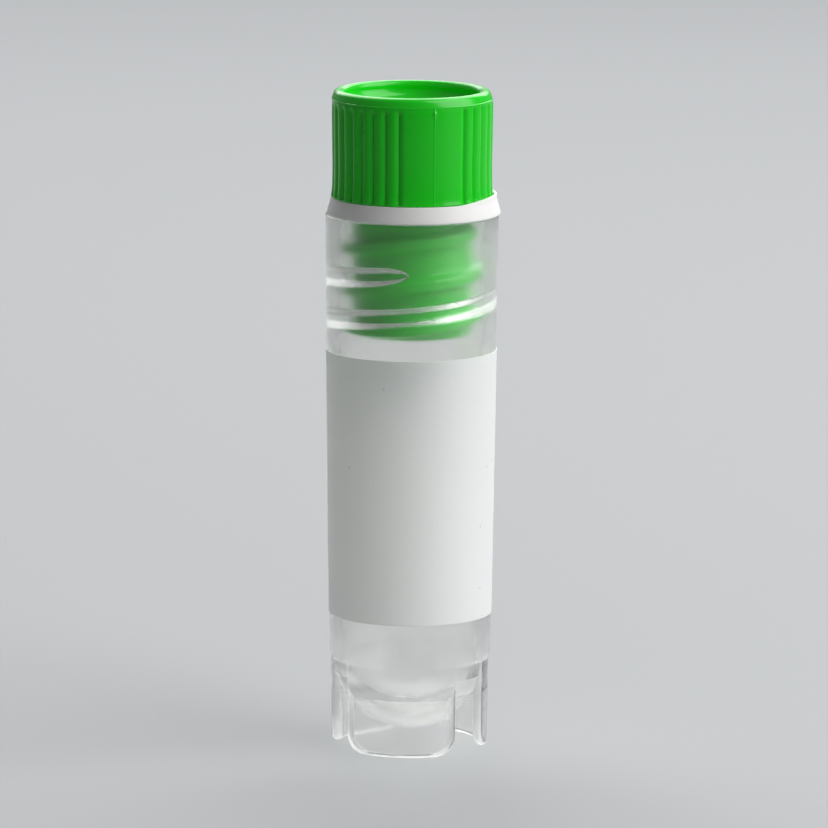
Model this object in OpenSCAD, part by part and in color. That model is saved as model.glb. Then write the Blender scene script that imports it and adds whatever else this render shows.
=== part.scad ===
// Cryogenic vial for 2 ml: a tube with a round bottom, three legs to stand on and a thread inside
// its mouth, closed by a screw cap with a hollow plug. A silicone ring seals cap and rim.
// Sizes in millimetres, angles in degrees. Origin: centre of the circle that the legs stand on.
// +Z is up, and the first leg points towards -Y. Directions are angles from -Y towards +X.

/* [Vial] */
// Height of the rim above the surface that the legs stand on
vial_h = 38.9; // [36:0.1:48]
// Outer diameter at the rim
rim_d = 12.5; // [11.9:0.1:15]
// Narrowing of the barrel from the rim to the legs, on the radius
barrel_draft = 0.425; // [0.1:0.025:0.5]
// Wall around the threaded bore at the rim
mouth_wall = 1.1; // [0.9:0.05:1.4]
// Wall of the barrel below the threaded bore
barrel_wall = 1.05; // [0.7:0.05:1.4]
// Wall of the round bottom
bowl_wall = 0.88; // [0.6:0.02:1.2]
// Depth of the threaded bore below the rim
bore_depth = 9.6; // [9.4:0.1:14]
// Rounding of the rim's two edges
rim_round = 0.15; // [0.05:0.05:0.3]

/* [Legs] */
// Height of the legs
leg_h = 6.5; // [5:0.1:8]
// Number of legs
leg_count = 3; // [2:1:4]
// Step in from the barrel to the legs, on the radius
leg_step = 0.115; // [0.05:0.005:0.3]
// Narrowing of the legs from their upper end to the foot, on the radius
leg_draft = 0.075; // [0.02:0.005:0.15]
// Wall of the legs at their upper end
leg_wall = 0.86; // [0.6:0.02:1.2]
// Width of the slot between two legs
slot_w = 2.6; // [1.6:0.1:4]
// Rounding of the legs' lower corners
leg_corner_r = 1.55; // [0.6:0.05:2]
// Rounding of the legs' lower edges
leg_edge_r = 0.25; // [0.1:0.05:0.3]
// Height of the round bottom above the surface that the legs stand on
bowl_gap = 1.35; // [0.6:0.05:1.6]

/* [Thread] */
// Rise of the thread in one turn
thread_pitch = 3.05; // [2.8:0.05:3.7]
// Height of the ridge inside the vial
vial_ridge_h = 0.65; // [0.4:0.05:0.8]
// Width of both ridges at their foot
ridge_foot_w = 1.45; // [1:0.05:1.5]
// Width of both ridges at their crest
ridge_crest_w = 0.6; // [0.3:0.05:0.8]
// Depth of the vial's ridge below the rim, at its upper end
vial_thread_top = 3.7; // [3.2:0.1:4.2]
// Height of the plain bore below the vial's ridge
bore_rest = 0.6; // [0.2:0.1:1]
// Height of the plain plug below the plug's ridge
plug_rest = 0.5; // [0.4:0.1:1]
// Direction of the ridges' upper ends
thread_dir = 6; // [-180:1:180]
// Arc over which a ridge runs out into its wall
runout = 28; // [18:1:60]
// Radial gap between a crest and the wall that it faces
crest_gap = 0.2; // [0.1:0.02:0.3]
// Gap between the flanks that bear on each other
flank_gap = 0.08; // [0.04:0.01:0.2]

/* [Cap] */
// Height of the head above the silicone ring
head_h = 7.75; // [6:0.05:12]
// Step in from the vial's rim to the ribs, on the radius
grip_inset = 0.44; // [0.2:0.02:0.6]
// Depth of the valleys between the ribs
rib_depth = 0.17; // [0.08:0.01:0.24]
// Angle from one rib to the next
rib_pitch = 10; // [5:5:20]
// Ribs on each side of the head, the rounded edges of the two smooth panels included
ribs_a_side = 15; // [9:2:15]
// Direction of the first smooth panel
panel_dir = 24; // [-90:1:90]
// Width of the land on the crest of a rib
land_w = 0.3; // [0.2:0.05:0.4]
// Height of the plain band between the ribs and the crown ring
band_h = 0.35; // [0.1:0.05:1]
// Step in from the ribs to the crown ring on top of the head, on the radius
crown_step = 0.05; // [0.03:0.01:0.3]
// Narrowing of the crown ring from the step to its rounded edge, on the radius
crown_draft = 0.09; // [0.02:0.01:0.2]
// Height of the crown ring
crown_h = 0.85; // [0.6:0.05:1.2]
// Rounding of the crown's outer edge
crown_round = 0.42; // [0.2:0.02:0.45]
// Rounding of the crown's inner edge
crown_inner_round = 0.28; // [0.1:0.02:0.3]
// Wall of the crown ring, around the recess in the top
crown_wall = 0.8; // [0.76:0.01:1.4]
// Depth of the recess
recess_depth = 1.5; // [1.2:0.1:2.5]
// Rounding between the recess's wall and floor
recess_fillet = 0.45; // [0.2:0.05:0.6]
// Depth of the plug's end below the vial's rim
plug_depth = 8.6; // [8.5:0.1:12]
// Wall of the hollow plug
plug_wall = 1.05; // [0.8:0.05:1.4]
// Floor between the recess and the plug's hollow
web_t = 1.3; // [1:0.1:2]
// Rounding at the upper end of the plug's hollow
hollow_fillet = 0.5; // [0.2:0.1:1]
// Rounding of the plug's lower edge
plug_round = 0.4; // [0.2:0.05:0.45]

/* [Seal ring] */
// Thickness of the silicone ring
ring_t = 1.25; // [0.8:0.05:2]
// Ledge of the ring around the cap's head, on the radius
ring_ledge = 0.16; // [0.05:0.01:0.3]
// Radius of the ring's lip, more than that of the rim
ring_overhang = 0; // [0:0.01:0.3]
// Height of the lip above the rim
ring_lip_h = 0.2; // [0.15:0.01:0.5]
// Radial play of the loose ring around the plug's neck
ring_play = 0.26; // [0.1:0.02:0.4]
// How far the loose ring lies off the axis
ring_shift = 0.12; // [0:0.02:0.2]
// Direction in which it lies off the axis
ring_shift_dir = 99; // [-180:1:180]

/* [Marking patch] */
// Height of the patch's lower edge above the surface that the legs stand on
patch_z = 9.8; // [8:0.1:14]
// Height of the patch
patch_h = 19.3; // [8:0.1:20]
// Arc that the patch covers
patch_arc = 250; // [60:5:340]
// Direction of the patch's middle
patch_dir = 26; // [-180:1:180]
// Thickness of the ink
ink_t = 0.05; // [0.04:0.01:0.1]

/* [Hidden] */
$fn = 96;

// flat steps in one turn of a ridge, and how deep its foot is sunk in its wall
ridge_steps = 40;
ridge_sink = 0.3;
// a cutter's reach past the surface that it cuts, and a joined shape's reach into its neighbour
over = 1;
grip = 0.5;

// radii that follow from the diameters and walls
rim_r = rim_d / 2;
barrel_low_r = rim_r - barrel_draft;
bore_r = rim_r - mouth_wall;
bowl_in_r = barrel_low_r - barrel_wall;
bowl_out_r = bowl_in_r + bowl_wall;
leg_top_r = barrel_low_r - leg_step;
leg_in_r = leg_top_r - leg_wall;
leg_foot_r = leg_top_r - leg_draft;
plug_r = bore_r - vial_ridge_h - crest_gap;
plug_crest_r = bore_r - crest_gap;
hollow_r = plug_r - plug_wall;
crest_r = rim_r - grip_inset;
valley_r = crest_r - rib_depth;
crown_foot_r = crest_r - crown_step;
crown_r = crown_foot_r - crown_draft;
recess_r = crown_r - crown_wall;
ring_in_r = plug_r + ring_play;
ring_top_r = crest_r + ring_ledge;
ring_lip_r = rim_r + ring_overhang;

// heights that follow from the stack of vial, ring and cap
bowl_z = bowl_gap + bowl_out_r;
shoulder_z = vial_h - bore_depth;
head_z = vial_h + ring_t;
top_z = head_z + head_h;
recess_z = top_z - recess_depth;
hollow_z = recess_z - web_t;
plug_z = vial_h - plug_depth;
crown_z = top_z - crown_h;

// where the two ridges meet, halfway up their flanks, and how far apart their middles lie there
function ridge_w(height, full) = ridge_foot_w + (ridge_crest_w - ridge_foot_w) * height / full;
plug_ridge_h = plug_crest_r - plug_r;
mesh_r = (plug_crest_r + bore_r - vial_ridge_h) / 2;
mesh_step = (ridge_w(bore_r - mesh_r, vial_ridge_h) + ridge_w(mesh_r - plug_r, plug_ridge_h)) / 2
    + flank_gap;
// the plug's ridge bears on the vial's from below, and starts one turn higher
plug_thread_top = vial_thread_top + mesh_step - thread_pitch;
// both ridges end above the lower end of the wall that carries them
vial_turns = (bore_depth - bore_rest - ridge_foot_w / 2 - vial_thread_top) / thread_pitch;
plug_turns = (plug_depth - plug_rest - ridge_foot_w / 2 - plug_thread_top) / thread_pitch;

// outer radius of the drafted barrel at height z
function barrel_r(z) = barrel_low_r + (rim_r - barrel_low_r) * (z - leg_h) / (vial_h - leg_h);

// turns a direction, an angle from -Y towards +X, into a rotation about +Z from +X
function heading(dir) = dir - 90;

// ---- flat shapes for the sections ----

// what a convex corner at the origin loses when it is rounded; the body lies towards +X and +Y
module corner_off(r) {
    difference() {
        translate([-over, -over]) square(r + over);
        translate([r, r]) circle(r);
    }
}

// what a concave corner at the origin gains when it is filled; the opening lies towards +X and +Y
module corner_fill(r) {
    difference() {
        translate([-grip, -grip]) square(r + grip);
        translate([r, r]) circle(r);
    }
}

// the half of a disc that lies right of the axis and below its centre
module lower_quarter(r) {
    intersection() {
        circle(r);
        translate([0, -r - over]) square([r + over, r + over]);
    }
}

// ---- thread ----

// A ridge wound right-handed on a wall of radius wall_r. Its crest lies at crest_r, inside or
// outside the wall. The upper end is at height top in direction dir. Both ends run out.
module ridge(wall_r, crest_r, turns, top, dir) {
    side = crest_r > wall_r ? 1 : -1;
    foot_r = wall_r - side * ridge_sink;
    steps = ceil(turns * ridge_steps);
    arc = turns * 360 / steps;
    // 0 at the ends and 1 where the ridge has its full height
    function rise(i) = min(1, min(i, steps - i) * arc / runout);
    function section(i) =
        let (
            tip_r = wall_r - side * ridge_sink / 2 + rise(i) * (crest_r - wall_r + side * ridge_sink / 2),
            tip_w = ridge_w(max(0, side * (tip_r - wall_r)), abs(crest_r - wall_r)) / 2,
            foot_w = ridge_w(-ridge_sink, abs(crest_r - wall_r)) / 2,
            loop = [[foot_r, -foot_w], [tip_r, -tip_w], [tip_r, tip_w], [foot_r, foot_w]]
        )
        side > 0 ? loop : [for (k = [3:-1:0]) loop[k]];
    points = [
        for (i = [0:steps])
            let (
                turned = heading(dir) - (steps - i) * arc,
                z = top - (steps - i) * arc / 360 * thread_pitch
            )
            for (p = section(i)) [p[0] * cos(turned), p[0] * sin(turned), z + p[1]]
    ];
    sides = [
        for (i = [0:steps - 1])
            for (k = [0:3])
                let (a = 4 * i + k, b = 4 * i + (k + 1) % 4)
                for (t = [[a, b, b + 4], [a, b + 4, a + 4]]) t
    ];
    last = 4 * steps;
    ends = [[3, 2, 1], [3, 1, 0], [last, last + 1, last + 2], [last, last + 2, last + 3]];
    polyhedron(points, concat(sides, ends), convexity = 8);
}

// ---- vial ----

// outside of barrel and round bottom, without the legs
module vial_outline() {
    difference() {
        polygon([[0, leg_h], [barrel_low_r, leg_h], [rim_r, vial_h], [0, vial_h]]);
        translate([rim_r, vial_h]) rotate(180) corner_off(rim_round);
    }
    translate([0, bowl_z]) lower_quarter(bowl_out_r);
}

// inside of the vial, from the round bottom to the mouth
module vial_cavity() {
    shoulder_r = barrel_r(shoulder_z) - barrel_wall;
    polygon([
        [0, bowl_z], [bowl_in_r, bowl_z], [shoulder_r, shoulder_z - abs(bore_r - shoulder_r)],
        [bore_r, shoulder_z], [bore_r, vial_h + over], [0, vial_h + over]
    ]);
    translate([0, bowl_z]) lower_quarter(bowl_in_r);
    translate([bore_r, vial_h]) rotate(-90) corner_off(rim_round);
}

// section of the skirt that the slots divide into legs
module leg_outline() {
    difference() {
        polygon([
            [leg_in_r, 0], [leg_foot_r, 0], [leg_top_r, leg_h], [leg_top_r, leg_h + grip],
            [leg_in_r, leg_h + grip]
        ]);
        translate([leg_in_r, 0]) corner_off(leg_edge_r);
        translate([leg_foot_r, 0]) mirror([1, 0]) corner_off(leg_edge_r);
    }
}

// a slot that widens below with the legs' rounded corners, as seen from outside
module slot_outline() {
    translate([-slot_w / 2, -over]) square([slot_w, leg_h + grip + 2 * over]);
    for (side = [0, 1])
        mirror([side, 0])
            difference() {
                translate([0, -over]) square([slot_w / 2 + leg_corner_r, leg_corner_r + over]);
                translate([slot_w / 2 + leg_corner_r, leg_corner_r]) circle(leg_corner_r);
            }
}

module legs() {
    difference() {
        rotate_extrude() leg_outline();
        for (i = [0:leg_count - 1])
            rotate(heading((i + 0.5) * 360 / leg_count))
                translate([leg_in_r - over, 0, 0])
                    rotate([90, 0, 90])
                        linear_extrude(leg_wall + 2 * over) slot_outline();
    }
}

module vial() {
    color([0.86, 0.9, 0.92, 0.5]) {
        difference() {
            union() {
                rotate_extrude() vial_outline();
                legs();
            }
            rotate_extrude() vial_cavity();
        }
        ridge(bore_r, bore_r - vial_ridge_h, vial_turns, vial_h - vial_thread_top, thread_dir);
    }
}

// ---- marking patch ----

module marking_patch() {
    low_r = barrel_r(patch_z);
    high_r = barrel_r(patch_z + patch_h);
    color("white")
        rotate(heading(patch_dir - patch_arc / 2))
            rotate_extrude(angle = patch_arc)
                polygon([
                    [low_r, patch_z], [low_r + ink_t, patch_z],
                    [high_r + ink_t, patch_z + patch_h], [high_r, patch_z + patch_h]
                ]);
}

// ---- seal ring ----

module seal_ring() {
    seat_r = rim_r - rim_round - ring_shift;
    color("whitesmoke")
        rotate(heading(ring_shift_dir))
            translate([ring_shift, 0, 0])
                rotate_extrude()
                    polygon([
                        [ring_in_r, vial_h], [seat_r, vial_h], [ring_lip_r, vial_h + ring_lip_h],
                        [ring_top_r, head_z], [ring_in_r, head_z]
                    ]);
}

// ---- cap ----

// the valleys between the ribs, as the hollows that a rack of round rods would leave in the grip
module valleys_outline() {
    half = rib_pitch / 2;
    land_half = land_w / crest_r * 90 / PI;
    rod_x = (crest_r ^ 2 - valley_r ^ 2) / (2 * (crest_r * cos(land_half) - valley_r * cos(half)));
    rod_r = sqrt(crest_r ^ 2 + rod_x ^ 2 - 2 * crest_r * rod_x * cos(land_half));
    far = crest_r + over;
    // beyond the grip a hollow narrows, so that it stays clear of its neighbours
    narrow = half - land_half / 2;
    first = 90 - half * (ribs_a_side - 2);
    for (side = [0, 180], i = [0:ribs_a_side - 2])
        rotate(side + first + i * rib_pitch)
            difference() {
                polygon([
                    rod_x * [cos(half), -sin(half)], far * [cos(narrow), -sin(narrow)],
                    far * [cos(narrow), sin(narrow)], rod_x * [cos(half), sin(half)]
                ]);
                for (turned = [-half, half]) rotate(turned) translate([rod_x, 0]) circle(rod_r);
            }
}

// section of the head and the plug, without the recess and the hollow
module cap_outline() {
    difference() {
        polygon([
            [0, head_z], [crest_r, head_z], [crest_r, crown_z], [crown_foot_r, crown_z],
            [crown_r, top_z - crown_round], [crown_r, top_z], [0, top_z]
        ]);
        translate([crown_r, top_z]) rotate(180) corner_off(crown_round);
    }
    difference() {
        translate([0, plug_z]) square([plug_r, head_z + grip - plug_z]);
        translate([plug_r, plug_z]) mirror([1, 0]) corner_off(plug_round);
    }
}

// the open space of the recess in the top
module recess_outline() {
    difference() {
        translate([0, recess_z]) square([recess_r, recess_depth + over]);
        translate([recess_r, recess_z]) mirror([1, 0]) corner_fill(recess_fillet);
    }
    translate([recess_r, top_z]) rotate(-90) corner_off(crown_inner_round);
}

// section of the plug's hollow, rounded at its upper end
module hollow_outline() {
    difference() {
        translate([0, plug_z - over]) square([hollow_r, hollow_z + over - plug_z]);
        translate([hollow_r, hollow_z]) rotate(180) corner_fill(hollow_fillet);
    }
}

module cap() {
    color("limegreen") {
        difference() {
            rotate_extrude() cap_outline();
            translate([0, 0, head_z - over])
                rotate(heading(panel_dir))
                    linear_extrude(crown_z - band_h - head_z + over) valleys_outline();
            rotate_extrude() recess_outline();
            rotate_extrude() hollow_outline();
        }
        ridge(plug_r, plug_crest_r, plug_turns, vial_h - plug_thread_top, thread_dir);
    }
}

vial();
marking_patch();
seal_ring();
cap();
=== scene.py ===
# %% [markdown]
# A cryogenic vial for 2 ml, built in Blender around its imported CAD model.
# The vial has four things to show: a cloudy tube with a round bottom on three legs, the white field
# printed on it, a silicone ring, and a green screw cap whose plug shows through the tube's wall.
# Everything is in metres, in the frame of the CAD model. The first cell loads that frame and the
# parts of the CAD model.

# %% Load the frame
import math

import bpy
import numpy as np
from mathutils import Matrix, Vector


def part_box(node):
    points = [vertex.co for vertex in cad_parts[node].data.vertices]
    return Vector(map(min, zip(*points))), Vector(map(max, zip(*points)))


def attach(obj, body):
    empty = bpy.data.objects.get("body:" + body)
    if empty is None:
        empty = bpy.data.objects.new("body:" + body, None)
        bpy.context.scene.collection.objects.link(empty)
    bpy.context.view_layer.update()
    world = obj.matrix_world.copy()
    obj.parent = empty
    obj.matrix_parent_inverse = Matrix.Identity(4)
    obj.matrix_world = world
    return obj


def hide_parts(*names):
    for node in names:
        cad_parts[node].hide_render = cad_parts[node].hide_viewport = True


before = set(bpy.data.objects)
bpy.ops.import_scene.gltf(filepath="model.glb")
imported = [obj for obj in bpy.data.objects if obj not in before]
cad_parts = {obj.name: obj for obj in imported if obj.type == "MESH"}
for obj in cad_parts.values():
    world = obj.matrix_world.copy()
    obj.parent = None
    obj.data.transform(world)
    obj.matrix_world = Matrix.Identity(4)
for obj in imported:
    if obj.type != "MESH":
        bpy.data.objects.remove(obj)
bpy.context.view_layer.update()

MM = 0.001

# %% [markdown]
# The heights and outer radii come from the boxes of the CAD nodes, so they follow the CAD model. The
# walls, drafts and roundings are the ones that such a vial is moulded with. They are in millimetres,
# and each is given where it is first needed. Directions are angles from -Y towards +X, as in the CAD
# model.

# %% Heights and outer radii, in millimetres


def box_mm(node_name):
    """Lowest and highest corner of a CAD node."""
    low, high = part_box(node_name)
    return np.array(low) / MM, np.array(high) / MM


vial_low, vial_high = box_mm("vial")
ring_low, ring_high = box_mm("seal_ring")
cap_low, cap_high = box_mm("cap")
patch_low, patch_high = box_mm("marking_patch")

rim_z, head_z, top_z = vial_high[2], ring_high[2], cap_high[2]
rim_r = min(*vial_high[:2], *-vial_low[:2])
crest_r = min(*cap_high[:2], *-cap_low[:2])
plug_z = cap_low[2]
print(f"rim {rim_r:.2f} mm at {rim_z:.2f} mm, head from {head_z:.2f} to {top_z:.2f} mm")

# %% [markdown]
# The barrel gets a little narrower towards the legs. This draft lets the moulding slip out of its
# cavity. The tube, the legs and the marking field all need the barrel's radius at a given height.

# %% Barrel
BARREL_DRAFT, LEG_H = 0.425, 6.5
barrel_low_r = rim_r - BARREL_DRAFT


def barrel_r(z):
    """Outer radius of the barrel at height z."""
    return barrel_low_r + (rim_r - barrel_low_r) * (z - LEG_H) / (rim_z - LEG_H)


print(f"barrel radius {barrel_low_r:.2f} mm above the legs")

# %% [markdown]
# The camera stands a little above the vial, half a metre away, with a long lens, so that the lines of
# the tube stay nearly parallel. It comes before the pieces, because it doesn't depend on them.

# %% Camera
VIEW_AZIMUTH = math.radians(8.7)
VIEW_PITCH = math.radians(9.92)
VIEW_ROLL = math.radians(0.29)
AWAY, ABOVE = 516.6 * MM, 114.6 * MM
camera_data = bpy.data.cameras.new("camera")
camera_data.sensor_width = 36.0
camera_data.lens = 315.6
camera_data.shift_x = 0.0036
camera_data.clip_start, camera_data.clip_end = 0.01, 20.0
camera = bpy.data.objects.new("camera", camera_data)
bpy.context.scene.collection.objects.link(camera)
camera.matrix_world = (
    Matrix.Translation((AWAY * math.sin(VIEW_AZIMUTH), -AWAY * math.cos(VIEW_AZIMUTH), ABOVE))
    @ Matrix.Rotation(VIEW_AZIMUTH, 4, "Z")
    @ Matrix.Rotation(math.pi / 2 - VIEW_PITCH, 4, "X")
    @ Matrix.Rotation(VIEW_ROLL, 4, "Z")
)
bpy.context.scene.camera = camera
print("camera at", [round(v, 3) for v in camera.matrix_world.translation])

# %% [markdown]
# The tube, the cap and the ring were made in round moulds, so each is a profile swept round an axis.
# A profile is a row of points, each a radius and a height. Two helpers draw its straight and round
# stretches, which then join end to end.

# %% Profile helpers


def line(start, end, count):
    """Points from start to end, without the end, which the next stretch begins with."""
    t = np.arange(count)[:, None] / count
    return np.array(start) * (1 - t) + np.array(end) * t


def arc(centre, radius, from_deg, to_deg, count):
    """Points on an arc, without its end."""
    a = np.radians(from_deg + (to_deg - from_deg) * np.arange(count) / count)
    return np.array(centre) + radius * np.column_stack([np.cos(a), np.sin(a)])


print("a quarter circle in three steps:", arc((0, 0), 1, 0, 90, 3).round(2).tolist())

# %% [markdown]
# The next helpers turn points into meshes. Points are worked out in millimetres, and only here they
# become metres. Smooth shading makes a fine mesh look round, and edges of more than 40 degrees stay
# sharp. The faces of a grid and of a band between two loops come from the numbers of their points.

# %% Mesh helpers
SHARP_DEG = 40


def add_piece(name, points_mm, faces):
    """A mesh object with smooth shading, except at sharp edges."""
    mesh = bpy.data.meshes.new(name)
    mesh.from_pydata((np.asarray(points_mm) * MM).tolist(), [], faces)
    mesh.validate()
    mesh.shade_smooth()
    mesh.set_sharp_from_angle(angle=math.radians(SHARP_DEG))
    piece = bpy.data.objects.new(name, mesh)
    bpy.context.scene.collection.objects.link(piece)
    return piece


def around(directions_deg, radius, height):
    """Points in millimetres from directions, radii and heights, which are broadcast together."""
    d, r, z = np.broadcast_arrays(np.radians(directions_deg), radius, height)
    return np.stack([r * np.sin(d), -r * np.cos(d), z], axis=-1)


def band(loop, next_loop):
    """The quads between two closed loops with equally many points."""
    return np.column_stack([loop, next_loop, np.roll(next_loop, -1), np.roll(loop, -1)]).tolist()


def grid_quads(index):
    """One quad for each cell of a grid of point numbers."""
    corners = [index[:-1, :-1], index[1:, :-1], index[1:, 1:], index[:-1, 1:]]
    return np.stack(corners, axis=-1).reshape(-1, 4)


def grid_loop(grid):
    """What lies on the border of a grid, in order round it."""
    return np.concatenate([grid[:, 0], grid[-1, 1:-1], grid[::-1, -1], grid[0, -2:0:-1]])


print("a grid of 3 by 4 points has", len(grid_quads(np.arange(12).reshape(3, 4))), "quads")

# %% [markdown]
# A screw modifier could sweep a profile, but it gives every direction the same radius. Here each
# point of the profile becomes a ring of points, whose radius may change with the direction. That is
# how the ribs and the thread ridges become part of the same closed skin, with no joint or hidden face
# under them. This matters for the tube, because light bends at every face inside clear plastic.

# %% Turning helper


def turned(name, radius, height, directions, closed=False):
    """A closed skin from rows of radii and heights. Unless the profile is closed, its two end rows
    lie on the axis and become one point each."""
    points = around(directions[None, :], radius, height)
    rows, cols = points.shape[:2]
    if closed:
        index = np.arange(rows * cols).reshape(rows, cols)
        points = points.reshape(-1, 3)
        pairs = zip(index, np.roll(index, -1, axis=0))
    else:
        index = 1 + np.arange((rows - 2) * cols).reshape(rows - 2, cols)
        points = np.vstack([points[0, :1], points[1:-1].reshape(-1, 3), points[-1, :1]])
        pairs = zip(index[:-1], index[1:])
    faces = []
    for upper, lower in pairs:
        faces += band(upper, lower)
    if not closed:
        end_point = len(points) - 1
        faces += [[0, a, b] for a, b in zip(index[0], np.roll(index[0], -1))]
        faces += [[a, end_point, b] for a, b in zip(index[-1], np.roll(index[-1], -1))]
    print(f"{name}: {rows} rows of {cols} points")
    return add_piece(name, points, faces)


# %% [markdown]
# The cap's plug and the vial's mouth each have a thread ridge. Both are a rounded trapezoid wound
# round the axis, one turn for every 3.05 mm. A real helix would be swept and then cut off at its
# ends, which leaves hard edges. Here the helper gives how far the ridge stands out of its wall at a
# height and a direction, so the ridge is part of the wall's own skin. It unwinds the direction into
# the angle left to the ridge's upper end, and measures how far the height lies from the ridge's
# middle there. Over the last 28 degrees the ridge gets lower and narrower until it is gone.

# %% Thread ridge
THREAD_PITCH, THREAD_DIR, RUNOUT = 3.05, 6.0, 28.0


def eased(x):
    """0 up to 0, 1 from 1 on, and a smooth S between them."""
    x = np.clip(x, 0, 1)
    return x * x * (3 - 2 * x)


def ridge_stand(directions, z, ridge, turns, top, top_dir):
    """How far a ridge stands out of its wall, in millimetres, for rows z and columns directions. Its
    upper end lies at height top and direction top_dir. The ridge is given by its height, the widths
    of its foot and of its two flanks, and the share of a flank that is straight."""
    z = np.asarray(z)[:, None]
    stand = np.zeros((len(z), len(directions)))
    left = np.mod(top_dir - directions, 360)[None, :]
    for wind in range(math.ceil(turns) + 1):
        angle = left + 360 * wind
        on_ridge = (angle > 0) & (angle < turns * 360)
        end = np.clip(np.minimum(angle, turns * 360 - angle) / RUNOUT, 0, 1)
        size = np.where(on_ridge, np.sqrt(end * (2 - end)), 0) + 1e-6
        off = (z - (top - angle / 360 * THREAD_PITCH)) / size
        flank = np.minimum(
            (ridge["foot"] / 2 - off) / ridge["upper flank"],
            (ridge["foot"] / 2 + off) / ridge["lower flank"],
        )
        straight, curved = np.clip(flank, 0, 1), eased(flank)
        rounded = straight * ridge["straight share"] + curved * (1 - ridge["straight share"])
        stand = np.maximum(stand, ridge["height"] * size * rounded)
    return stand


print("a thread ridge climbs", THREAD_PITCH, "mm in one turn")

# %% [markdown]
# The mould's core shapes the inside of the tube: the round bowl, the inner wall, and the wider bore
# at the mouth. Seen through clear plastic, every step in the inner wall shows as a dark line. The
# inner wall therefore widens to the bore over 4 mm, hidden behind the marking field. The rows of the
# bore lie 0.07 mm apart, so that each flank of its ridge has several rows.

# %% Inside of the tube
MOUTH_WALL, BARREL_WALL, BOWL_WALL = 1.1, 1.05, 0.88
BORE_DEPTH, BORE_TAPER, BOWL_GAP, RIM_ROUND = 9.6, 4.0, 1.35, 0.06
bore_r, shoulder_z = rim_r - MOUTH_WALL, rim_z - BORE_DEPTH
bowl_in_r = barrel_low_r - BARREL_WALL
bowl_out_r = bowl_in_r + BOWL_WALL
bowl_z = BOWL_GAP + bowl_out_r
taper_z = shoulder_z - BORE_TAPER
taper_r = barrel_r(taper_z) - BARREL_WALL
core_side = np.vstack([
    arc((0, bowl_z), bowl_in_r, -90, 0, 26),
    line((bowl_in_r, bowl_z), (taper_r, taper_z), 14),
    line((taper_r, taper_z), (bore_r, shoulder_z), 6),
])
bore = line((bore_r, shoulder_z), (bore_r, rim_z - RIM_ROUND), 136)
print(f"bowl radius {bowl_in_r:.2f} mm, bore radius {bore_r:.2f} mm")

# %% [markdown]
# The mould's cavity shapes the outside: the rim, the barrel, a chamfer 0.1 mm deep over the legs,
# the flat step between them, and the bowl, which hangs 1.35 mm above the table. The chamfer is as
# high as the legs will reach up into the barrel's wall.

# %% Outside of the tube
LEG_STEP, LEG_OVERLAP = 0.115, 0.35
leg_top_r = barrel_low_r - LEG_STEP
bowl_top_r = math.sqrt(bowl_out_r**2 - (bowl_z - LEG_H) ** 2)
bowl_top_deg = -math.degrees(math.acos(bowl_top_r / bowl_out_r))
chamfer_from = (barrel_low_r, LEG_H + LEG_OVERLAP)
chamfer_to = (leg_top_r + 0.02, LEG_H + 0.03)
step_from = (leg_top_r - 0.01, LEG_H)
cavity_side = np.vstack([
    arc((bore_r + RIM_ROUND, rim_z - RIM_ROUND), RIM_ROUND, 180, 90, 5),
    line((bore_r + RIM_ROUND, rim_z), (rim_r - RIM_ROUND, rim_z), 3),
    arc((rim_r - RIM_ROUND, rim_z - RIM_ROUND), RIM_ROUND, 90, 0, 6),
    line((rim_r, rim_z - RIM_ROUND), chamfer_from, 30),
    line(chamfer_from, chamfer_to, 2),
    line(chamfer_to, step_from, 1),
    line(step_from, (bowl_top_r, LEG_H), 2),
    arc((0, bowl_z), bowl_out_r, bowl_top_deg, -90, 30),
    [[0, bowl_z - bowl_out_r]],
])
print(f"the legs start {LEG_H} mm up, at radius {leg_top_r:.2f} mm")

# %% [markdown]
# Core side, bore and cavity side make one closed skin, and the rows of the bore carry the ridge. Its
# flanks slope at about 45 degrees. They mirror the lamp like a prism and make the two bright lines
# that run round under the ring. A wider flank would make each line a broad, glowing band.

# %% Tube
VIAL_RIDGE = {
    "height": 0.5, "foot": 1.5, "upper flank": 0.55, "lower flank": 0.5, "straight share": 0.4
}
VIAL_RIDGE_DROP, VIAL_TURNS = 3.7, 1.5
vial_ridge_z = rim_z - VIAL_RIDGE_DROP
tube_dirs = np.arange(0, 360, 1.5)
tube_profile = np.vstack([core_side, bore, cavity_side])
tube_radius = np.repeat(tube_profile[:, :1], len(tube_dirs), axis=1)
tube_radius[len(core_side) : len(core_side) + len(bore)] -= ridge_stand(
    tube_dirs, bore[:, 1], VIAL_RIDGE, VIAL_TURNS, vial_ridge_z, THREAD_DIR
)
tube = turned("tube", tube_radius, tube_profile[:, 1:], tube_dirs)

# %% [markdown]
# A leg is a curved plate with two rounded lower corners, and the mould rounds all of its edges. A
# cube with a bevel would do for a flat plate, but this one follows the barrel's round. So it is built
# in layers through its thickness: each layer is the leg's outline, drawn in where the edge is rounded.
# The outline is measured from the slot beside the leg, because the slots have parallel walls.

# %% Outline of a leg
SLOT_W, LEG_CORNER, LEG_WALL = 2.6, 1.55, 0.86
SIDE_POINTS, CORNER_POINTS, ACROSS_POINTS = 13, 15, 25
leg_in_r = leg_top_r - LEG_WALL


def leg_half_outline(inset):
    """Points down one side of a leg: distance from the slot's wall, and height."""
    t = np.radians(np.linspace(0, 90, CORNER_POINTS))
    side_z = np.linspace(LEG_H + LEG_OVERLAP, LEG_CORNER, SIDE_POINTS)
    side = np.column_stack([np.full(SIDE_POINTS, inset), side_z])
    corner = LEG_CORNER - (LEG_CORNER - inset) * np.column_stack([np.cos(t), np.sin(t)])
    return np.vstack([side[:-1], corner])


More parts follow.
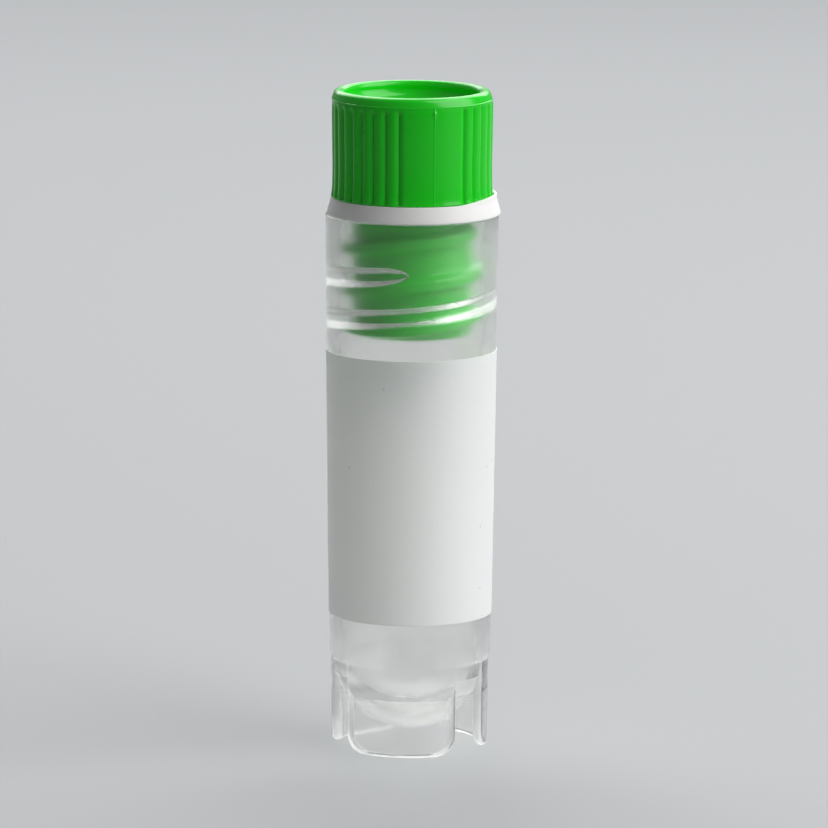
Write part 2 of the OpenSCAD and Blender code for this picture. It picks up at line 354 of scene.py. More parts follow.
def leg_row(away, z, radius, middle_dir):
    """Points across the leg at one height, from one side to the other."""
    half = 60 - math.degrees(math.asin((SLOT_W / 2 + away) / radius))
    return around(middle_dir + np.linspace(-half, half, ACROSS_POINTS), radius, z)


print("points down the side of a leg:", len(leg_half_outline(0)))

# %% [markdown]
# The first layer is the outer face and the last one the inner face, so these two are full grids of
# points. The layers between them only make the rounded edge, so they need no more than their border.
# The outer face has a draft of its own and lies 0.075 mm further in at the foot.

# %% Legs
LEG_EDGE, LEG_DRAFT, EDGE_LAYERS = 0.33, 0.075, 5


def leg_layer(inset, shift, outer, middle_dir):
    """The grid of points of one layer. Shift moves it outwards."""
    rows = []
    for away, z in leg_half_outline(inset):
        face_r = leg_top_r - LEG_DRAFT * (1 - min(z, LEG_H) / LEG_H) if outer else leg_in_r
        rows.append(leg_row(away, z, face_r + shift, middle_dir))
    return np.array(rows)


def make_leg(name, middle_dir):
    """One leg as a closed mesh. Its top end reaches into the barrel's wall."""
    a = np.radians(np.linspace(0, 90, EDGE_LAYERS))
    inset, shift = LEG_EDGE * (1 - np.sin(a)), LEG_EDGE * (1 - np.cos(a))
    layers = [leg_layer(i, -s, True, middle_dir) for i, s in zip(inset, shift)]
    layers += [leg_layer(i, s, False, middle_dir) for i, s in zip(inset[::-1], shift[::-1])]
    points, faces, loops = [], [], []
    for k, grid in enumerate(layers):
        start = sum(len(p) for p in points)
        if k in (0, len(layers) - 1):
            index = start + np.arange(grid[..., 0].size).reshape(grid.shape[:2])
            quads = grid_quads(index)
            faces += (quads if k == 0 else quads[:, ::-1]).tolist()
            points.append(grid.reshape(-1, 3))
            loops.append(grid_loop(index))
        else:
            points.append(grid_loop(grid))
            loops.append(start + np.arange(len(points[-1])))
    for loop, next_loop in zip(loops[:-1], loops[1:]):
        faces += band(loop, next_loop)
    return add_piece(name, np.vstack(points), faces)


legs = [make_leg(f"leg_{i}", 120 * i) for i in range(3)]
print("legs:", [leg.name for leg in legs], "with", len(legs[0].data.vertices), "points each")

# %% [markdown]
# The real tube and its legs are one moulding. Pieces that only overlap would show their hidden faces
# through the clear plastic, so a boolean joins them to one solid. The tube keeps the result as its
# own mesh, and the separate legs are removed.

# %% Join the legs with the tube
for leg in legs:
    join = tube.modifiers.new("join", "BOOLEAN")
    join.operation, join.solver, join.object = "UNION", "MANIFOLD", leg
depsgraph = bpy.context.evaluated_depsgraph_get()
joined = bpy.data.meshes.new_from_object(tube.evaluated_get(depsgraph), depsgraph=depsgraph)
tube.modifiers.clear()
tube.data = joined
joined.name = "tube"
joined.materials.clear()
joined.shade_smooth()
joined.set_sharp_from_angle(angle=math.radians(SHARP_DEG))
for leg in legs:
    bpy.data.objects.remove(leg)
print("faces of the tube:", len(joined.polygons))

# %% [markdown]
# The tube will get three finishes: one from the mould's cavity, one from its core, and one on the
# rounded edges of the legs. A face is sorted by its place: inside the middle of the wall it came from
# the core. On a leg its normal decides: on a flat side it points out or in, and on an edge it points
# down or sideways.

# %% Faces from the core and on the legs' edges
BARREL_MIDDLE, BOWL_MIDDLE = 0.5, 0.3
BELOW_STEP, LEG_MARGIN, FLAT_SIDE = 0.05, 0.02, 0.96
centres = np.array([face.center for face in joined.polygons]) / MM
normals = np.array([face.normal for face in joined.polygons])
face_r, face_z = np.hypot(centres[:, 0], centres[:, 1]), centres[:, 2]
in_barrel = (face_z >= bowl_z) & (face_r < barrel_r(face_z) - BARREL_MIDDLE)
from_bowl_centre = np.hypot(face_r, face_z - bowl_z)
in_bowl = (face_z < bowl_z) & (from_bowl_centre < bowl_in_r + BOWL_MIDDLE)
on_core_side = in_barrel | in_bowl
facing_out = (normals[:, 0] * centres[:, 0] + normals[:, 1] * centres[:, 1]) / (face_r + 1e-9)
on_leg = (face_z < LEG_H - BELOW_STEP) & (face_r > leg_in_r - LEG_MARGIN)
on_leg_edge = on_leg & (np.abs(facing_out) < FLAT_SIDE)
print("faces from the core", on_core_side.sum(), "and on the legs' edges", on_leg_edge.sum())

# %% [markdown]
# The grip of the cap has a slight waist. It flares at its lower edge, where the mould opens, and
# leans in a little under the crown. Its ribs are round rods side by side, 10 degrees apart, which
# leave narrow valleys, and two smooth panels lie between them. The rods could be cylinders joined by
# a boolean. A radius for each direction gives the same section, and lets the ribs fade out towards
# the crown.

# %% Ribs and grip
RIB_DEPTH, RIB_PITCH, LAND_W = 0.17, 10.0, 0.3
PANEL_DIR, PANEL_HALF = 24.0, 20
# Heights above the ring, and the radius over the ribs' crests at each.
GRIP_HEIGHTS = [0.0, 0.35, 0.9, 2.4, 4.6, 6.2, 6.7, 7.1]
GRIP_RADII = [5.865, 5.81, 5.77, 5.75, 5.79, 5.81, 5.8, 5.77]


def rib_fall(directions):
    """How far the grip's surface lies below a rib's crest in each direction."""
    valley_r = crest_r - RIB_DEPTH
    half, land = math.radians(RIB_PITCH / 2), LAND_W / crest_r / 2
    rod_x = (crest_r**2 - valley_r**2) / (
        2 * (crest_r * math.cos(land) - valley_r * math.cos(half))
    )
    rod_r = math.sqrt(crest_r**2 + rod_x**2 - 2 * crest_r * rod_x * math.cos(land))
    from_panel = np.mod(directions - PANEL_DIR, 180)
    from_rib = np.radians(np.mod(from_panel, RIB_PITCH))
    from_rib = np.minimum(from_rib, np.radians(RIB_PITCH) - from_rib)
    surface = rod_x * np.cos(from_rib) + np.sqrt(rod_r**2 - (rod_x * np.sin(from_rib)) ** 2)
    on_panel = (from_panel < PANEL_HALF) | (from_panel > 180 - PANEL_HALF)
    return np.where(on_panel, 0, crest_r - np.minimum(surface, crest_r))


def grip_r(z):
    """Crest radius of the grip at height z."""
    return np.interp(z - head_z, GRIP_HEIGHTS, GRIP_RADII)


print(f"ribs {RIB_DEPTH} mm deep, waist {min(GRIP_RADII)} mm, lower edge {max(GRIP_RADII)} mm")

# %% [markdown]
# The cap is one closed skin too. Its profile starts in the middle of the recess on top. A wide fillet
# leads up to a round lip, and the crown band leans outwards to a fine ledge over the grip. The rows
# of the grip are close together where the ribs start and where the nub of flash will be.

# %% Crown and grip of the cap
CROWN_STEP, CROWN_H, CROWN_WALL, CROWN_ROUND, BAND_LEAN = 0.14, 0.63, 0.8, 0.42, 0.08
RECESS_DEPTH, FILLET, LIP = 1.3, 0.7, 0.36
RIBS_FROM, RIBS_FULL, FLARE_H, GRIP_EDGE = 0.14, 0.66, 0.9, 0.1
crown_r, crown_z = crest_r - CROWN_STEP, top_z - CROWN_H
recess_r, recess_z = crown_r - CROWN_WALL, top_z - RECESS_DEPTH
recess = np.vstack([
    line((0, recess_z), (recess_r - FILLET, recess_z), 6),
    arc((recess_r - FILLET, recess_z + FILLET), FILLET, -90, 0, 10),
])
crown = np.vstack([
    line((recess_r, recess_z + FILLET), (recess_r, top_z - LIP), 3),
    arc((recess_r + LIP, top_z - LIP), LIP, 180, 90, 8),
    line((recess_r + LIP, top_z), (crown_r - CROWN_ROUND, top_z), 1),
    arc((crown_r - CROWN_ROUND, top_z - CROWN_ROUND), CROWN_ROUND, 90, 12, 9),
    line((crown_r, top_z - 0.34), (crown_r + BAND_LEAN, crown_z + 0.05), 4),
])
# From the foot of the crown band out to the tops of the ribs.
ledge = np.array([
    [crown_r + BAND_LEAN, crown_z + 0.05],
    [crown_r + BAND_LEAN + 0.005, crown_z + 0.02],
    [crest_r - 0.03, crown_z],
    [crest_r - 0.008, crown_z - 0.015],
])
grip_z = np.concatenate([
    np.linspace(crown_z - 0.05, crown_z - RIBS_FROM, 3)[:-1],
    np.linspace(crown_z - RIBS_FROM, crown_z - RIBS_FULL, 13)[:-1],
    np.linspace(crown_z - RIBS_FULL, head_z + FLARE_H, 14)[:-1],
    np.linspace(head_z + FLARE_H, head_z + GRIP_EDGE, 7),
])
grip = np.column_stack([grip_r(grip_z), grip_z])
print(f"recess {RECESS_DEPTH} mm deep, ledge {CROWN_H} mm under the top")

# %% [markdown]
# The profile goes on under the head, down the plug, and up into the plug's hollow, which keeps its
# wall as thin as the rest of the moulding. The rows of the plug lie 0.08 mm apart for its ridge.

# %% Plug of the cap
PLUG_R, PLUG_WALL, WEB = 4.3, 1.05, 1.5
PLUG_ROUND, HOLLOW_EDGE, HOLLOW_ROUND = 0.4, 0.12, 0.5
hollow_r, hollow_z = PLUG_R - PLUG_WALL, recess_z - WEB
edge_r = grip[-1, 0] - GRIP_EDGE
under = np.vstack([
    arc((edge_r, head_z + GRIP_EDGE), GRIP_EDGE, 0, -90, 4),
    line((edge_r, head_z), (PLUG_R, head_z), 4),
])
plug = np.vstack([
    line((PLUG_R, head_z), (PLUG_R, plug_z + PLUG_ROUND), 118),
    arc((PLUG_R - PLUG_ROUND, plug_z + PLUG_ROUND), PLUG_ROUND, 0, -90, 7),
])
hollow = np.vstack([
    line((PLUG_R - PLUG_ROUND, plug_z), (hollow_r + HOLLOW_EDGE, plug_z), 2),
    arc((hollow_r + HOLLOW_EDGE, plug_z + HOLLOW_EDGE), HOLLOW_EDGE, 270, 180, 4),
    line((hollow_r, plug_z + HOLLOW_EDGE), (hollow_r, hollow_z - HOLLOW_ROUND), 10),
    arc((hollow_r - HOLLOW_ROUND, hollow_z - HOLLOW_ROUND), HOLLOW_ROUND, 0, 90, 7),
    line((hollow_r - HOLLOW_ROUND, hollow_z), (0, hollow_z), 3),
    [[0, hollow_z]],
])
print(f"plug down to {plug_z:.2f} mm, its hollow up to {hollow_z:.2f} mm")

# %% [markdown]
# Now each point of the profile becomes a ring of radii, one for each direction. Directions lie closer
# together at the parting line, the fine line down both panels where the halves of the mould meet.

# %% Radii of the cap
PARTING_DIR = 24.5
one_side = np.array([0.25, 0.5, 0.8, 1.2, 1.6])
near_parting = PARTING_DIR + np.concatenate([-one_side, [0], one_side])
cap_dirs = np.unique(np.concatenate([np.arange(0, 360, 1.0), near_parting, near_parting + 180]))
cap_profile = np.vstack([recess, crown, ledge, grip, under, plug, hollow])
cap_radius = np.repeat(cap_profile[:, :1], len(cap_dirs), axis=1)
ledge_from = len(recess) + len(crown)
grip_from = ledge_from + len(ledge)
plug_from = grip_from + len(grip) + len(under)
crown_rows, ledge_rows = slice(len(recess), grip_from), slice(ledge_from, grip_from)
grip_rows, plug_rows = slice(grip_from, grip_from + len(grip)), slice(plug_from, plug_from + len(plug))
print(len(cap_dirs), "directions round the cap,", len(grip), "rows of the grip")

# %% [markdown]
# A real cap isn't perfectly round. Its crown sits 0.035 mm off centre, so the ledge is wider on one
# side, and the ribs reach higher there. The parting line stands out of both panels by a fortieth of
# a millimetre, and a small nub of flash stands on it at the front, just under the crown. A bump map
# could shade these details, but changes in the radius also show in the outline of the cap.

# %% Crown off centre, ribs, parting line and flash
CROWN_SHIFT, CROWN_SHIFT_DIR, LEDGE_IN = 0.035, 99.0, 0.003
RIB_DROP, RIB_FADE, FADE_SPREAD = 0.1, 0.45, 0.25
PARTING_H, PARTING_W = 0.025, 0.22
FLASH_H, FLASH_W, FLASH_DROP, FLASH_LONG = 0.07, 1.1, 0.46, 0.17
off_centre = np.cos(np.radians(cap_dirs - CROWN_SHIFT_DIR))
cap_radius[crown_rows] -= CROWN_SHIFT * off_centre
cap_radius[ledge_rows] = np.minimum(cap_radius[ledge_rows], crest_r - LEDGE_IN)
rib_fade = RIB_FADE - FADE_SPREAD * off_centre
below_crown = eased((crown_z - RIB_DROP - grip_z[:, None]) / rib_fade[None, :])
from_parting = np.mod(cap_dirs - PARTING_DIR + 90, 180) - 90
parting = PARTING_H * np.exp(-((from_parting / PARTING_W) ** 2))
flash_across = FLASH_H * np.exp(-(((cap_dirs - PARTING_DIR) / FLASH_W) ** 2))
flash_up = np.exp(-(((grip_z - crown_z + FLASH_DROP) / FLASH_LONG) ** 2))
cap_radius[grip_rows] -= below_crown * rib_fall(cap_dirs)[None, :]
cap_radius[grip_rows] += parting[None, :]
cap_radius[grip_rows] += flash_up[:, None] * flash_across[None, :]
print(f"the ribs reach full depth {rib_fade.min():.2f} to {rib_fade.max():.2f} mm below their start")

# %% [markdown]
# The plug's ridge lies 0.97 mm below the vial's, so that its upper flank bears on the lower flank of
# the vial's ridge when the cap is tight. It starts about a turn and a quarter above the upper end of
# the vial's ridge, winds more than two and a half turns, and fades out on the rounded end of the
# plug.

# %% Screw cap
PLUG_RIDGE = {
    "height": 0.65, "foot": 1.45, "upper flank": 0.425, "lower flank": 0.425,
    "straight share": 0.35,
}
RIDGE_MESH = 0.9742
# Turns above and below the point one pitch over the upper end of the vial's ridge.
PLUG_UP, PLUG_DOWN = 0.22, 2.42
plug_ridge_z = vial_ridge_z - RIDGE_MESH + (1 + PLUG_UP) * THREAD_PITCH
plug_ridge = ridge_stand(
    cap_dirs,
    cap_profile[plug_rows, 1],
    PLUG_RIDGE,
    PLUG_UP + PLUG_DOWN,
    plug_ridge_z,
    THREAD_DIR + 360 * PLUG_UP,
)
cap_radius[plug_rows] += eased((plug[:, 1:] - plug_z) / PLUG_ROUND) * plug_ridge
screw_cap = turned("screw_cap", cap_radius, cap_profile[:, 1:], cap_dirs)

# %% [markdown]
# The ring is moulded from white silicone and lies loose on the rim, a little off centre. A torus
# would be too round for it, so it is swept like the cap, but round an axis of its own. A helper turns
# a radius round that axis into one round the vial's.

# %% Place of the ring
ring_x, ring_y = (ring_high[0] + ring_low[0]) / 2, (ring_high[1] + ring_low[1]) / 2
ring_shift, ring_shift_dir = math.hypot(ring_x, ring_y), math.degrees(math.atan2(ring_x, -ring_y))
ring_dirs = np.arange(0, 360, 1.5)
from_widest = np.radians(ring_dirs - ring_shift_dir)


def off_axis(radius):
    """Distance from the vial's axis to a circle round the ring's own axis, in each direction."""
    return ring_shift * np.cos(from_widest) + np.sqrt(
        radius**2 - (ring_shift * np.sin(from_widest)) ** 2
    )


print(f"the ring lies {ring_shift:.2f} mm off the axis, towards {ring_shift_dir:.0f} degrees")

# %% [markdown]
# The ring's side slopes out to a lip that stands just past the rim. Where the ring sits widest, its
# soft outer edge bulges up round the cap's lower edge and makes a low cuff. Only that edge rises, so
# the ring stays flat between the rim and the cap.

# %% Silicone ring
RING_IN_R, RING_TOP_R, RING_EDGE = 4.56, 5.97, 0.05
CUFF_H, CUFF_FROM = 0.27, 0.5
LIP_IN, LIP_H, LIP_ROUND, UNDERCUT = 0.003, 0.2, 0.08, 0.28
lip_r = (ring_high[0] - ring_low[0]) / 2 - LIP_IN
cuff_r = grip_r(np.array([head_z]))[0] + 0.02
upper_face = np.vstack([
    line((RING_IN_R, head_z), (5.6, head_z), 3),
    line((5.6, head_z), (cuff_r, head_z), 2),
])
upper_edge = np.vstack([
    [[cuff_r, head_z]],
    arc((RING_TOP_R - RING_EDGE, head_z - RING_EDGE), RING_EDGE, 90, 15, 4),
])
side_and_underside = np.vstack([
    line((RING_TOP_R, head_z - 0.06), (lip_r - 0.01, rim_z + LIP_H), 6),
    arc((lip_r - LIP_ROUND, rim_z + 0.13), LIP_ROUND, 15, -75, 4),
    line((lip_r - 0.06, rim_z + 0.05), (lip_r - UNDERCUT, rim_z), 3),
    line((lip_r - UNDERCUT, rim_z), (RING_IN_R, rim_z), 4),
    line((RING_IN_R, rim_z), (RING_IN_R, head_z), 4),
])
ring_profile = np.vstack([upper_face, upper_edge, side_and_underside])
ring_radius = np.array([off_axis(r) for r in ring_profile[:, 0]])
ring_height = np.repeat(ring_profile[:, 1:], len(ring_dirs), axis=1)
edge_from = len(upper_face)
ring_radius[edge_from] = np.minimum(cuff_r, off_axis(RING_TOP_R - 0.06))
cuff = CUFF_H * eased((np.cos(from_widest) - CUFF_FROM) / (1 - CUFF_FROM))
ring_height[edge_from : edge_from + len(upper_edge)] += cuff
ring = turned("silicone_ring", ring_radius, ring_height, ring_dirs, closed=True)

# %% [markdown]
# The marking field is a skin of ink, screen printed on the barrel. A colour on the barrel's own
# surface could show it too, but the ink is a layer with an edge and a thickness. So it is a curved
# sheet with rounded corners, sunk a hair into the wall, so that light inside the plastic meets the
# ink and no thin gap.

# %% Marking field
INK_T, INK_SUNK, PATCH_CORNER = 0.05, 0.012, 0.5
PATCH_ARC, PATCH_DIR, PATCH_COLUMNS = 250.0, 26.0, 169
patch_z, patch_top = patch_low[2], patch_high[2]


def make_patch():
    """The sheet of ink: an outer and an inner grid of points, and the narrow edge between them."""
    corner = PATCH_CORNER * (1 - np.cos(np.radians(np.linspace(0, 90, 6))))
    middle = np.linspace(patch_z + PATCH_CORNER, patch_top - PATCH_CORNER, 14)[1:-1]
    z = np.concatenate([patch_z + corner, middle, patch_top - corner[::-1]])
    from_end = np.minimum(np.minimum(z - patch_z, patch_top - z), PATCH_CORNER)
    drawn_in = PATCH_CORNER - np.sqrt(PATCH_CORNER**2 - (PATCH_CORNER - from_end) ** 2)
    half = PATCH_ARC / 2 - np.degrees(drawn_in / barrel_r(z))
    directions = PATCH_DIR + half[:, None] * np.linspace(-1, 1, PATCH_COLUMNS)[None, :]
    outer = around(directions, (barrel_r(z) + INK_T)[:, None], z[:, None]).reshape(-1, 3)
    inner = around(directions, (barrel_r(z) - INK_SUNK)[:, None], z[:, None]).reshape(-1, 3)
    index = np.arange(directions.size).reshape(directions.shape).T
    quads, loop = grid_quads(index), grid_loop(index)
    faces = quads.tolist() + (quads[:, ::-1] + len(outer)).tolist()
    faces += band(loop, loop + len(outer))
    return add_piece("marking_field", np.vstack([outer, inner]), faces)


marking_field = make_patch()
print(f"marking field from {patch_z:.1f} to {patch_top:.1f} mm, over {PATCH_ARC:.0f} degrees")

# %% [markdown]
# Materials come next. One function turns the usual hex colours into the linear values that Blender
# works with, one gives a pattern its scale from a real size, and one adds a node with its settings
# and links.

# %% Material helpers


def linear(hex_colour):
    """A linear RGBA colour from an sRGB hex value."""
    parts = [int(hex_colour[i : i + 2], 16) / 255 for i in (1, 3, 5)]
    return [p / 12.92 if p <= 0.04045 else ((p + 0.055) / 1.055) ** 2.4 for p in parts] + [1.0]


def per_mm(size_mm):
    """The scale of a pattern whose features are size_mm wide, on coordinates in metres."""
    return 1 / (size_mm * MM)


def add_node(tree, kind, settings=None, links=None):
    """Adds a shader node. Settings go to its inputs or properties, links join outputs to inputs."""
    node = tree.nodes.new("ShaderNode" + kind)
    for key, value in (settings or {}).items():
        if key in node.inputs:
            node.inputs[key].default_value = value
        else:
            setattr(node, key, value)
    for key, source in (links or {}).items():
        tree.links.new(source, node.inputs[key])
    return node


def new_material(name):
    """An empty node material and its tree."""
    material = bpy.data.materials.new(name)
    material.use_nodes = True
    material.node_tree.nodes.clear()
    return material, material.node_tree


print("mid grey in linear light:", [round(v, 3) for v in linear("#808080")])

# %% [markdown]
# Natural polypropylene has no pigment. A wall of 1 mm is clear, with a little white haze from its
# crystals, so it is a glass with a small share of light that scatters under its surface. The steel of
# the mould decides the rest. The cavity is polished, which gives the outside a clear gloss. The core
# has a fine blast finish, which blurs what stands far behind the inner wall and leaves the inner wall
# itself sharp. The rounded edges of the legs come out frosted and draw the legs as pale lines.
# Lamps hardly reach through a glass surface in a render with few samples. Shadow rays and diffuse
# rays therefore meet a clear surface that keeps 4% of them, about what a real one mirrors away, and
# the plug and the ink get their light through the wall.

# %% Natural polypropylene, injection moulded


def natural_polypropylene(name, least_rough, most_rough, clear):
    """Moulded plastic with a range of roughness, and the share of its light that stays clear."""
    material, tree = new_material(name)
    where = add_node(tree, "TexCoord").outputs["Object"]
    # The melt fills the mould in streaks about 3 mm wide, which differ a little in gloss.
    flow = add_node(tree, "TexNoise", {"Scale": per_mm(3.0), "Detail": 3.0}, {"Vector": where})
    rough = add_node(
        tree,
        "MapRange",
        {"To Min": least_rough, "To Max": most_rough},
        {"Value": flow.outputs["Fac"]},
    )
    # Shrinkage leaves ripples about as wide as the wall is thick, 1.2 mm, and 0.01 mm high.
    ripple = add_node(tree, "TexNoise", {"Scale": per_mm(1.2), "Detail": 2.0}, {"Vector": where})
    bump = add_node(
        tree, "Bump", {"Strength": 0.2, "Distance": 0.01 * MM}, {"Height": ripple.outputs["Fac"]}
    )
    plastic = add_node(
        tree,
        "BsdfPrincipled",
        {
            "Base Color": linear("#fefefd"),
            "IOR": 1.49,
            "Transmission Weight": clear,
            "Subsurface Weight": 1.0,
            "Subsurface Radius": (1.0, 1.0, 1.0),
            "Subsurface Scale": 0.8 * MM,
        },
        {"Roughness": rough.outputs["Result"], "Normal": bump.outputs["Normal"]},
    )
    let_through = add_node(tree, "BsdfTransparent", {"Color": (0.96, 0.965, 0.96, 1.0)})
    rays = add_node(tree, "LightPath")
    passing = add_node(
        tree,
        "Math",
        {"operation": "MAXIMUM"},
        {0: rays.outputs["Is Shadow Ray"], 1: rays.outputs["Is Diffuse Ray"]},
    )
    lit = add_node(
        tree,
        "MixShader",
        None,
        {0: passing.outputs["Value"], 1: plastic.outputs["BSDF"], 2: let_through.outputs["BSDF"]},
    )
    add_node(tree, "OutputMaterial", None, {"Surface": lit.outputs["Shader"]})
    return material


polished_pp = natural_polypropylene("natural_polypropylene_polished", 0.12, 0.18, clear=0.98)
blasted_pp = natural_polypropylene("natural_polypropylene_fine_blasted", 0.3, 0.36, clear=0.98)
frosted_pp = natural_polypropylene("natural_polypropylene_frosted_edge", 0.5, 0.6, clear=0.55)
print("finishes of the tube:", polished_pp.name, blasted_pp.name, frosted_pp.name)

# %% [markdown]
# The cap is polypropylene too, with a strong green pigment. Light goes a fraction of a millimetre in
# and comes back green, which softens the ribs, and the moulded surface has a soft gloss.

# %% Green polypropylene, injection moulded
green_pp, tree = new_material("green_polypropylene_moulded")
where = add_node(tree, "TexCoord").outputs["Object"]
# The mould's steel has a grain of about 0.05 mm. That is too fine to show, so it is drawn at 0.5 mm.
grain = add_node(tree, "TexNoise", {"Scale": per_mm(0.5), "Detail": 3.0}, {"Vector": where})
rough = add_node(
    tree, "MapRange", {"To Min": 0.18, "To Max": 0.26}, {"Value": grain.outputs["Fac"]}
)
bump = add_node(
    tree, "Bump", {"Strength": 0.2, "Distance": 0.01 * MM}, {"Height": grain.outputs["Fac"]}
)
surface = add_node(
    tree,
    "BsdfPrincipled",
    {
        "Base Color": linear("#06cc0c"),
        "IOR": 1.49,
        "Specular IOR Level": 0.5,
        "Subsurface Weight": 0.3,
        "Subsurface Radius": (0.2, 1.0, 0.2),
        "Subsurface Scale": 0.25 * MM,
    },
    {"Roughness": rough.outputs["Result"], "Normal": bump.outputs["Normal"]},
)
add_node(tree, "OutputMaterial", None, {"Surface": surface.outputs["BSDF"]})
print("finish of the cap:", green_pp.name)

# %% [markdown]
# The ring is white silicone rubber. It is matt and a little translucent, so its edges look soft.

# %% White silicone, moulded
silicone, tree = new_material("white_silicone_moulded")
where = add_node(tree, "TexCoord").outputs["Object"]
# The grain of a blasted mould is about 0.02 mm. That is too fine to show, so it is drawn at 0.2 mm.
grain = add_node(tree, "TexNoise", {"Scale": per_mm(0.2), "Detail": 3.0}, {"Vector": where})
bump = add_node(
    tree, "Bump", {"Strength": 0.3, "Distance": 0.01 * MM}, {"Height": grain.outputs["Fac"]}
)
surface = add_node(
    tree,
    "BsdfPrincipled",
    {
        "Base Color": linear("#efeeec"),
        "IOR": 1.41,
        "Roughness": 0.5,
        "Subsurface Weight": 0.4,
        "Subsurface Radius": (1.0, 1.0, 1.0),
        "Subsurface Scale": 0.3 * MM,
    },
    {"Normal": bump.outputs["Normal"]},
)
add_node(tree, "OutputMaterial", None, {"Surface": surface.outputs["BSDF"]})
print("finish of the ring:", silicone.name)

# %% [markdown]
# The marking field is a white ink that takes a pencil. The screen leaves it semi-matt with a fine
# grain and a few dust specks. The layer is thin, so light from inside the tube shines through it.

# %% White ink, screen printed
white_ink, tree = new_material("white_ink_screen_printed")
where = add_node(tree, "TexCoord").outputs["Object"]
# The screen's threads leave a grain of 0.1 mm. That is too fine to show, so it is drawn at 0.25 mm.
grain = add_node(tree, "TexNoise", {"Scale": per_mm(0.25), "Detail": 3.0}, {"Vector": where})
tone = add_node(
    tree,
    "Mix",
    {"data_type": "RGBA", "A": linear("#f8f6f0"), "B": linear("#fdfbf7")},
    {"Factor": grain.outputs["Fac"]},
)
# One speck lies in every cell of 1.9 mm. The few that touch the surface show, up to 0.2 mm wide.
cell = add_node(tree, "TexVoronoi", {"Scale": per_mm(1.9)}, {"Vector": where})
speck = add_node(
    tree,
    "MapRange",
    {"From Min": 0.035, "From Max": 0.055, "To Min": 0.35, "To Max": 0.0},
    {"Value": cell.outputs["Distance"]},
)
specked = add_node(
    tree,
    "Mix",
    {"data_type": "RGBA", "B": linear("#8f9088")},
    {"Factor": speck.outputs["Result"], "A": tone.outputs["Result"]},
)
bump = add_node(
    tree, "Bump", {"Strength": 0.3, "Distance": 0.01 * MM}, {"Height": grain.outputs["Fac"]}
)
surface = add_node(
    tree,
    "BsdfPrincipled",
    {
        "IOR": 1.5,
        "Roughness": 0.45,
        "Subsurface Weight": 1.0,
        "Subsurface Radius": (1.0, 1.0, 0.95),
        "Subsurface Scale": 0.19 * MM,
    },
    {"Base Color": specked.outputs["Result"], "Normal": bump.outputs["Normal"]},
)
add_node(tree, "OutputMaterial", None, {"Surface": surface.outputs["BSDF"]})
print("finish of the marking field:", white_ink.name)

# %% [markdown]
# Each piece gets its finish, rides on a body of the CAD model, and stands for the CAD node that it
# replaces. The tube has three finishes, and each of its faces is given the number of its own.

# %% Give each piece its material and body, and hide the CAD node
CAVITY_FINISH, CORE_FINISH, EDGE_FINISH = 0, 1, 2
for piece, finishes, body, node_name, slot in (
    (tube, (polished_pp, blasted_pp, frosted_pp), "vial_body", "vial", "vial_plastic"),
    (marking_field, (white_ink,), "vial_body", "marking_patch", "patch_ink"),
    (ring, (silicone,), "ring_body", "seal_ring", "ring_silicone"),
    (screw_cap, (green_pp,), "cap_body", "cap", "cap_plastic"),
):
    for finish in finishes:
        piece.data.materials.append(finish)
    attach(piece, body)
    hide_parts(node_name)
    print(piece.name, "rides on", body, "and stands for", node_name)
finish_of_face = np.full(len(tube.data.polygons), CAVITY_FINISH)
finish_of_face[on_core_side] = CORE_FINISH
finish_of_face[on_leg_edge] = EDGE_FINISH
tube.data.polygons.foreach_set("material_index", finish_of_face)

# %% [markdown]
# The studio floor is matt. It is mid grey, which renders pale under these lamps, and it throws little
# enough light back to keep the green of the cap deep.

# %% Floor
REACH = 4.0
floor_corners = [(-REACH, -REACH, 0), (REACH, -REACH, 0), (REACH, REACH, 0), (-REACH, REACH, 0)]
floor_mesh = bpy.data.meshes.new("floor")
floor_mesh.from_pydata(floor_corners, [], [(0, 1, 2, 3)])
floor = bpy.data.objects.new("floor", floor_mesh)
bpy.context.scene.collection.objects.link(floor)
floor.location.z = -0.01 * MM
floor_paint, tree = new_material("studio_floor_matt")
surface = add_node(tree, "BsdfPrincipled", {"Base Color": linear("#9ea0a2"), "Roughness": 0.6})
add_node(tree, "OutputMaterial", None, {"Surface": surface.outputs["BSDF"]})
floor_mesh.materials.append(floor_paint)
print("the floor is", 2 * REACH, "m wide")

# %% [markdown]
# Two large soft lamps light the vial. The key lamp stands at the right and is tall, so that the
# flanks of the thread and the panel of the cap have something bright and soft to mirror, while the
# left side stays darker. The back lamp shines through the strip that the marking field leaves bare,
# and lights the thin ink from inside the tube.

# %% Lamps


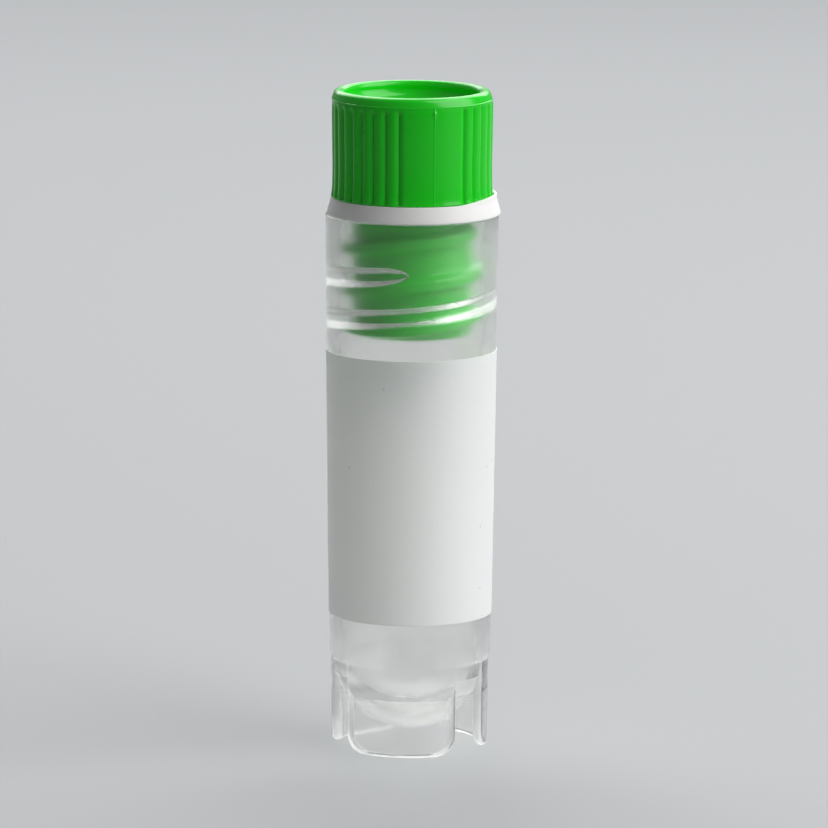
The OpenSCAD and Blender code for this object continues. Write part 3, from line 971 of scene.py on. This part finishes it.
def soft_lamp(name, azimuth_deg, height, distance, size, power):
    """A rectangular lamp, size wide and high, that shines at the middle of the vial."""
    data = bpy.data.lights.new(name, "AREA")
    data.shape, data.energy = "RECTANGLE", power
    data.size, data.size_y = size
    lamp = bpy.data.objects.new(name, data)
    a = math.radians(azimuth_deg)
    lamp.location = (distance * math.sin(a), -distance * math.cos(a), height)
    toward = Vector((0, 0, 0.025)) - lamp.location
    lamp.rotation_euler = toward.to_track_quat("-Z", "Y").to_euler()
    bpy.context.scene.collection.objects.link(lamp)
    print(name, "lamp", power, "W")


soft_lamp("key", azimuth_deg=80, height=0.31, distance=0.36, size=(0.46, 0.56), power=2.65)
soft_lamp("back", azimuth_deg=187, height=0.42, distance=0.42, size=(0.8, 0.6), power=4.4)

# %% [markdown]
# The world adds a weak fill. The camera sees it paler than that, and so do rays off glossy surfaces
# and through clear ones, so that the tube and the cap show the pale room that they stand in.

# %% World
FILL, SEEN = 0.1, 0.44
world = bpy.data.worlds.new("studio")
bpy.context.scene.world = world
world.use_nodes = True
tree = world.node_tree
tree.nodes.clear()
rays = add_node(tree, "LightPath")
through_or_off = add_node(
    tree,
    "Math",
    {"operation": "MAXIMUM"},
    {0: rays.outputs["Is Glossy Ray"], 1: rays.outputs["Is Transmission Ray"]},
)
seen_ray = add_node(
    tree,
    "Math",
    {"operation": "MAXIMUM"},
    {0: rays.outputs["Is Camera Ray"], 1: through_or_off.outputs["Value"]},
)
strength = add_node(
    tree, "MapRange", {"To Min": FILL, "To Max": SEEN}, {"Value": seen_ray.outputs["Value"]}
)
background = add_node(
    tree, "Background", {"Color": linear("#d4d6d8")}, {"Strength": strength.outputs["Result"]}
)
add_node(tree, "OutputWorld", None, {"Surface": background.outputs["Background"]})
bpy.context.scene.view_settings.view_transform = "Standard"
print("the world lights at", FILL, "and is seen at", SEEN)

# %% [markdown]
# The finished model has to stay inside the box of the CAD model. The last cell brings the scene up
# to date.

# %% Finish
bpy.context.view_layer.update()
